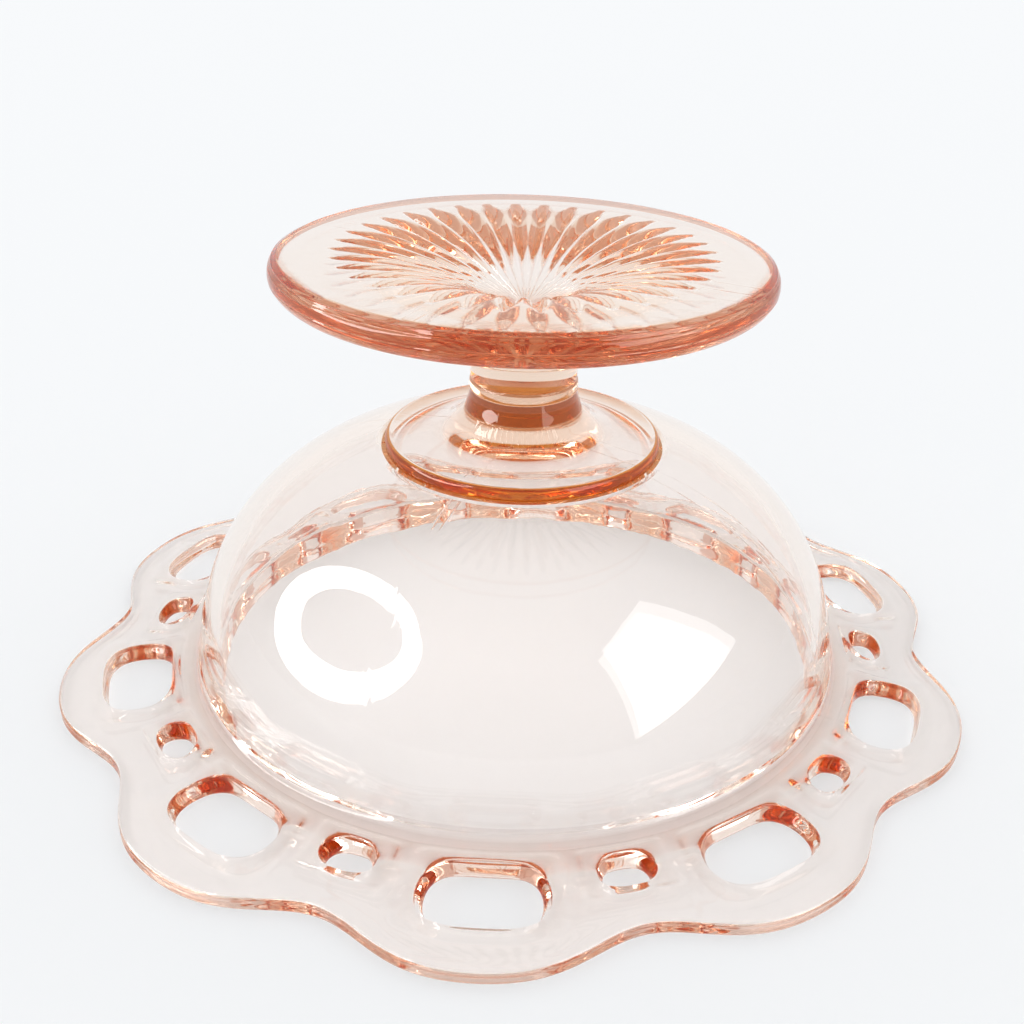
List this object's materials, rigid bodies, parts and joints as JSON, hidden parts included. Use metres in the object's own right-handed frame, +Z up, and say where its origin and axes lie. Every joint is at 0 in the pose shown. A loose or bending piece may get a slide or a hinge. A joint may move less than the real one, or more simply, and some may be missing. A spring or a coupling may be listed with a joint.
{
  "type": "footed candy dish",
  "caption": "Pressed-glass footed candy dish with a round bowl, pierced lace rim, collar, short stem and fluted foot, shown standing on its rim.",
  "frame": {"origin": "on the dish's axis, at the flat underside of the lace rim, which is the lowest face because the dish stands upside down", "axes": "+Z up along the axis, out of the sole of the foot, so the bowl opens towards -Z; -Y is the front and one lobe of the rim lies 4 degrees left of it. Turn the part over about X to use it as a dish"},
  "size_m": [0.1748, 0.1778, 0.0826],
  "materials": {
    "pink_glass": "fire-polished pressed soda-lime glass, pale pink, amber where it is thick"
  },
  "bodies": {
    "root": {"lace_rim": "pink_glass", "bowl": "pink_glass", "collar": "pink_glass", "stem": "pink_glass", "foot": "pink_glass"}
  },
  "joints": []
}
